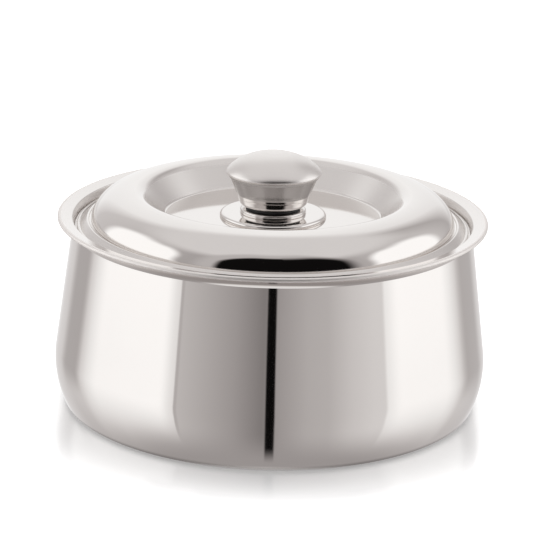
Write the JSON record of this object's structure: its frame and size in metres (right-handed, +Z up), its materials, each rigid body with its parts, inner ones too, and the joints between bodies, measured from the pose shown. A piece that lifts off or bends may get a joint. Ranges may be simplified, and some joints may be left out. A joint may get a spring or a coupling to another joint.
{
  "type": "insulated casserole",
  "caption": "Round double-walled steel casserole with a rolled rim, and a lift-off insulated lid with a sunken centre and a round domed knob.",
  "frame": {"origin": "middle of the foot, on the table it stands on", "axes": "+Z up along the axis that every piece is turned about; X and Y are alike"},
  "size_m": [0.2432, 0.243, 0.1424],
  "materials": {
    "polished_steel": "mirror polished stainless steel",
    "bowl_steel": "polished stainless steel, fine turned grain",
    "knob_steel": "fine brushed stainless steel",
    "satin_steel": "satin stainless steel",
    "foam": "rigid cream foam, open-cell skin",
    "black_plastic": "matt black moulded plastic",
    "zinc_steel": "bright zinc plated steel"
  },
  "bodies": {
    "base": {"outer_shell": "polished_steel", "base_plug": "black_plastic", "inner_bowl": "bowl_steel", "body_foam": "foam"},
    "lid": {"lid_cover": "polished_steel", "lid_liner": "bowl_steel", "lid_foam": "foam", "knob_plate": "polished_steel", "knob_collar": "polished_steel", "knob_spacer": "black_plastic", "knob_cup": "knob_steel", "knob_cap": "satin_steel", "knob_core": "black_plastic", "knob_stud": "zinc_steel", "backing_washer": "zinc_steel", "spring_washer": "zinc_steel", "knob_nut": "zinc_steel"}
  },
  "joints": [
    {"name": "lid_lift", "type": "slide", "parent": "base", "child": "lid", "axis": [0, 0, 1], "range_m": [0, 0.12]}
  ]
}
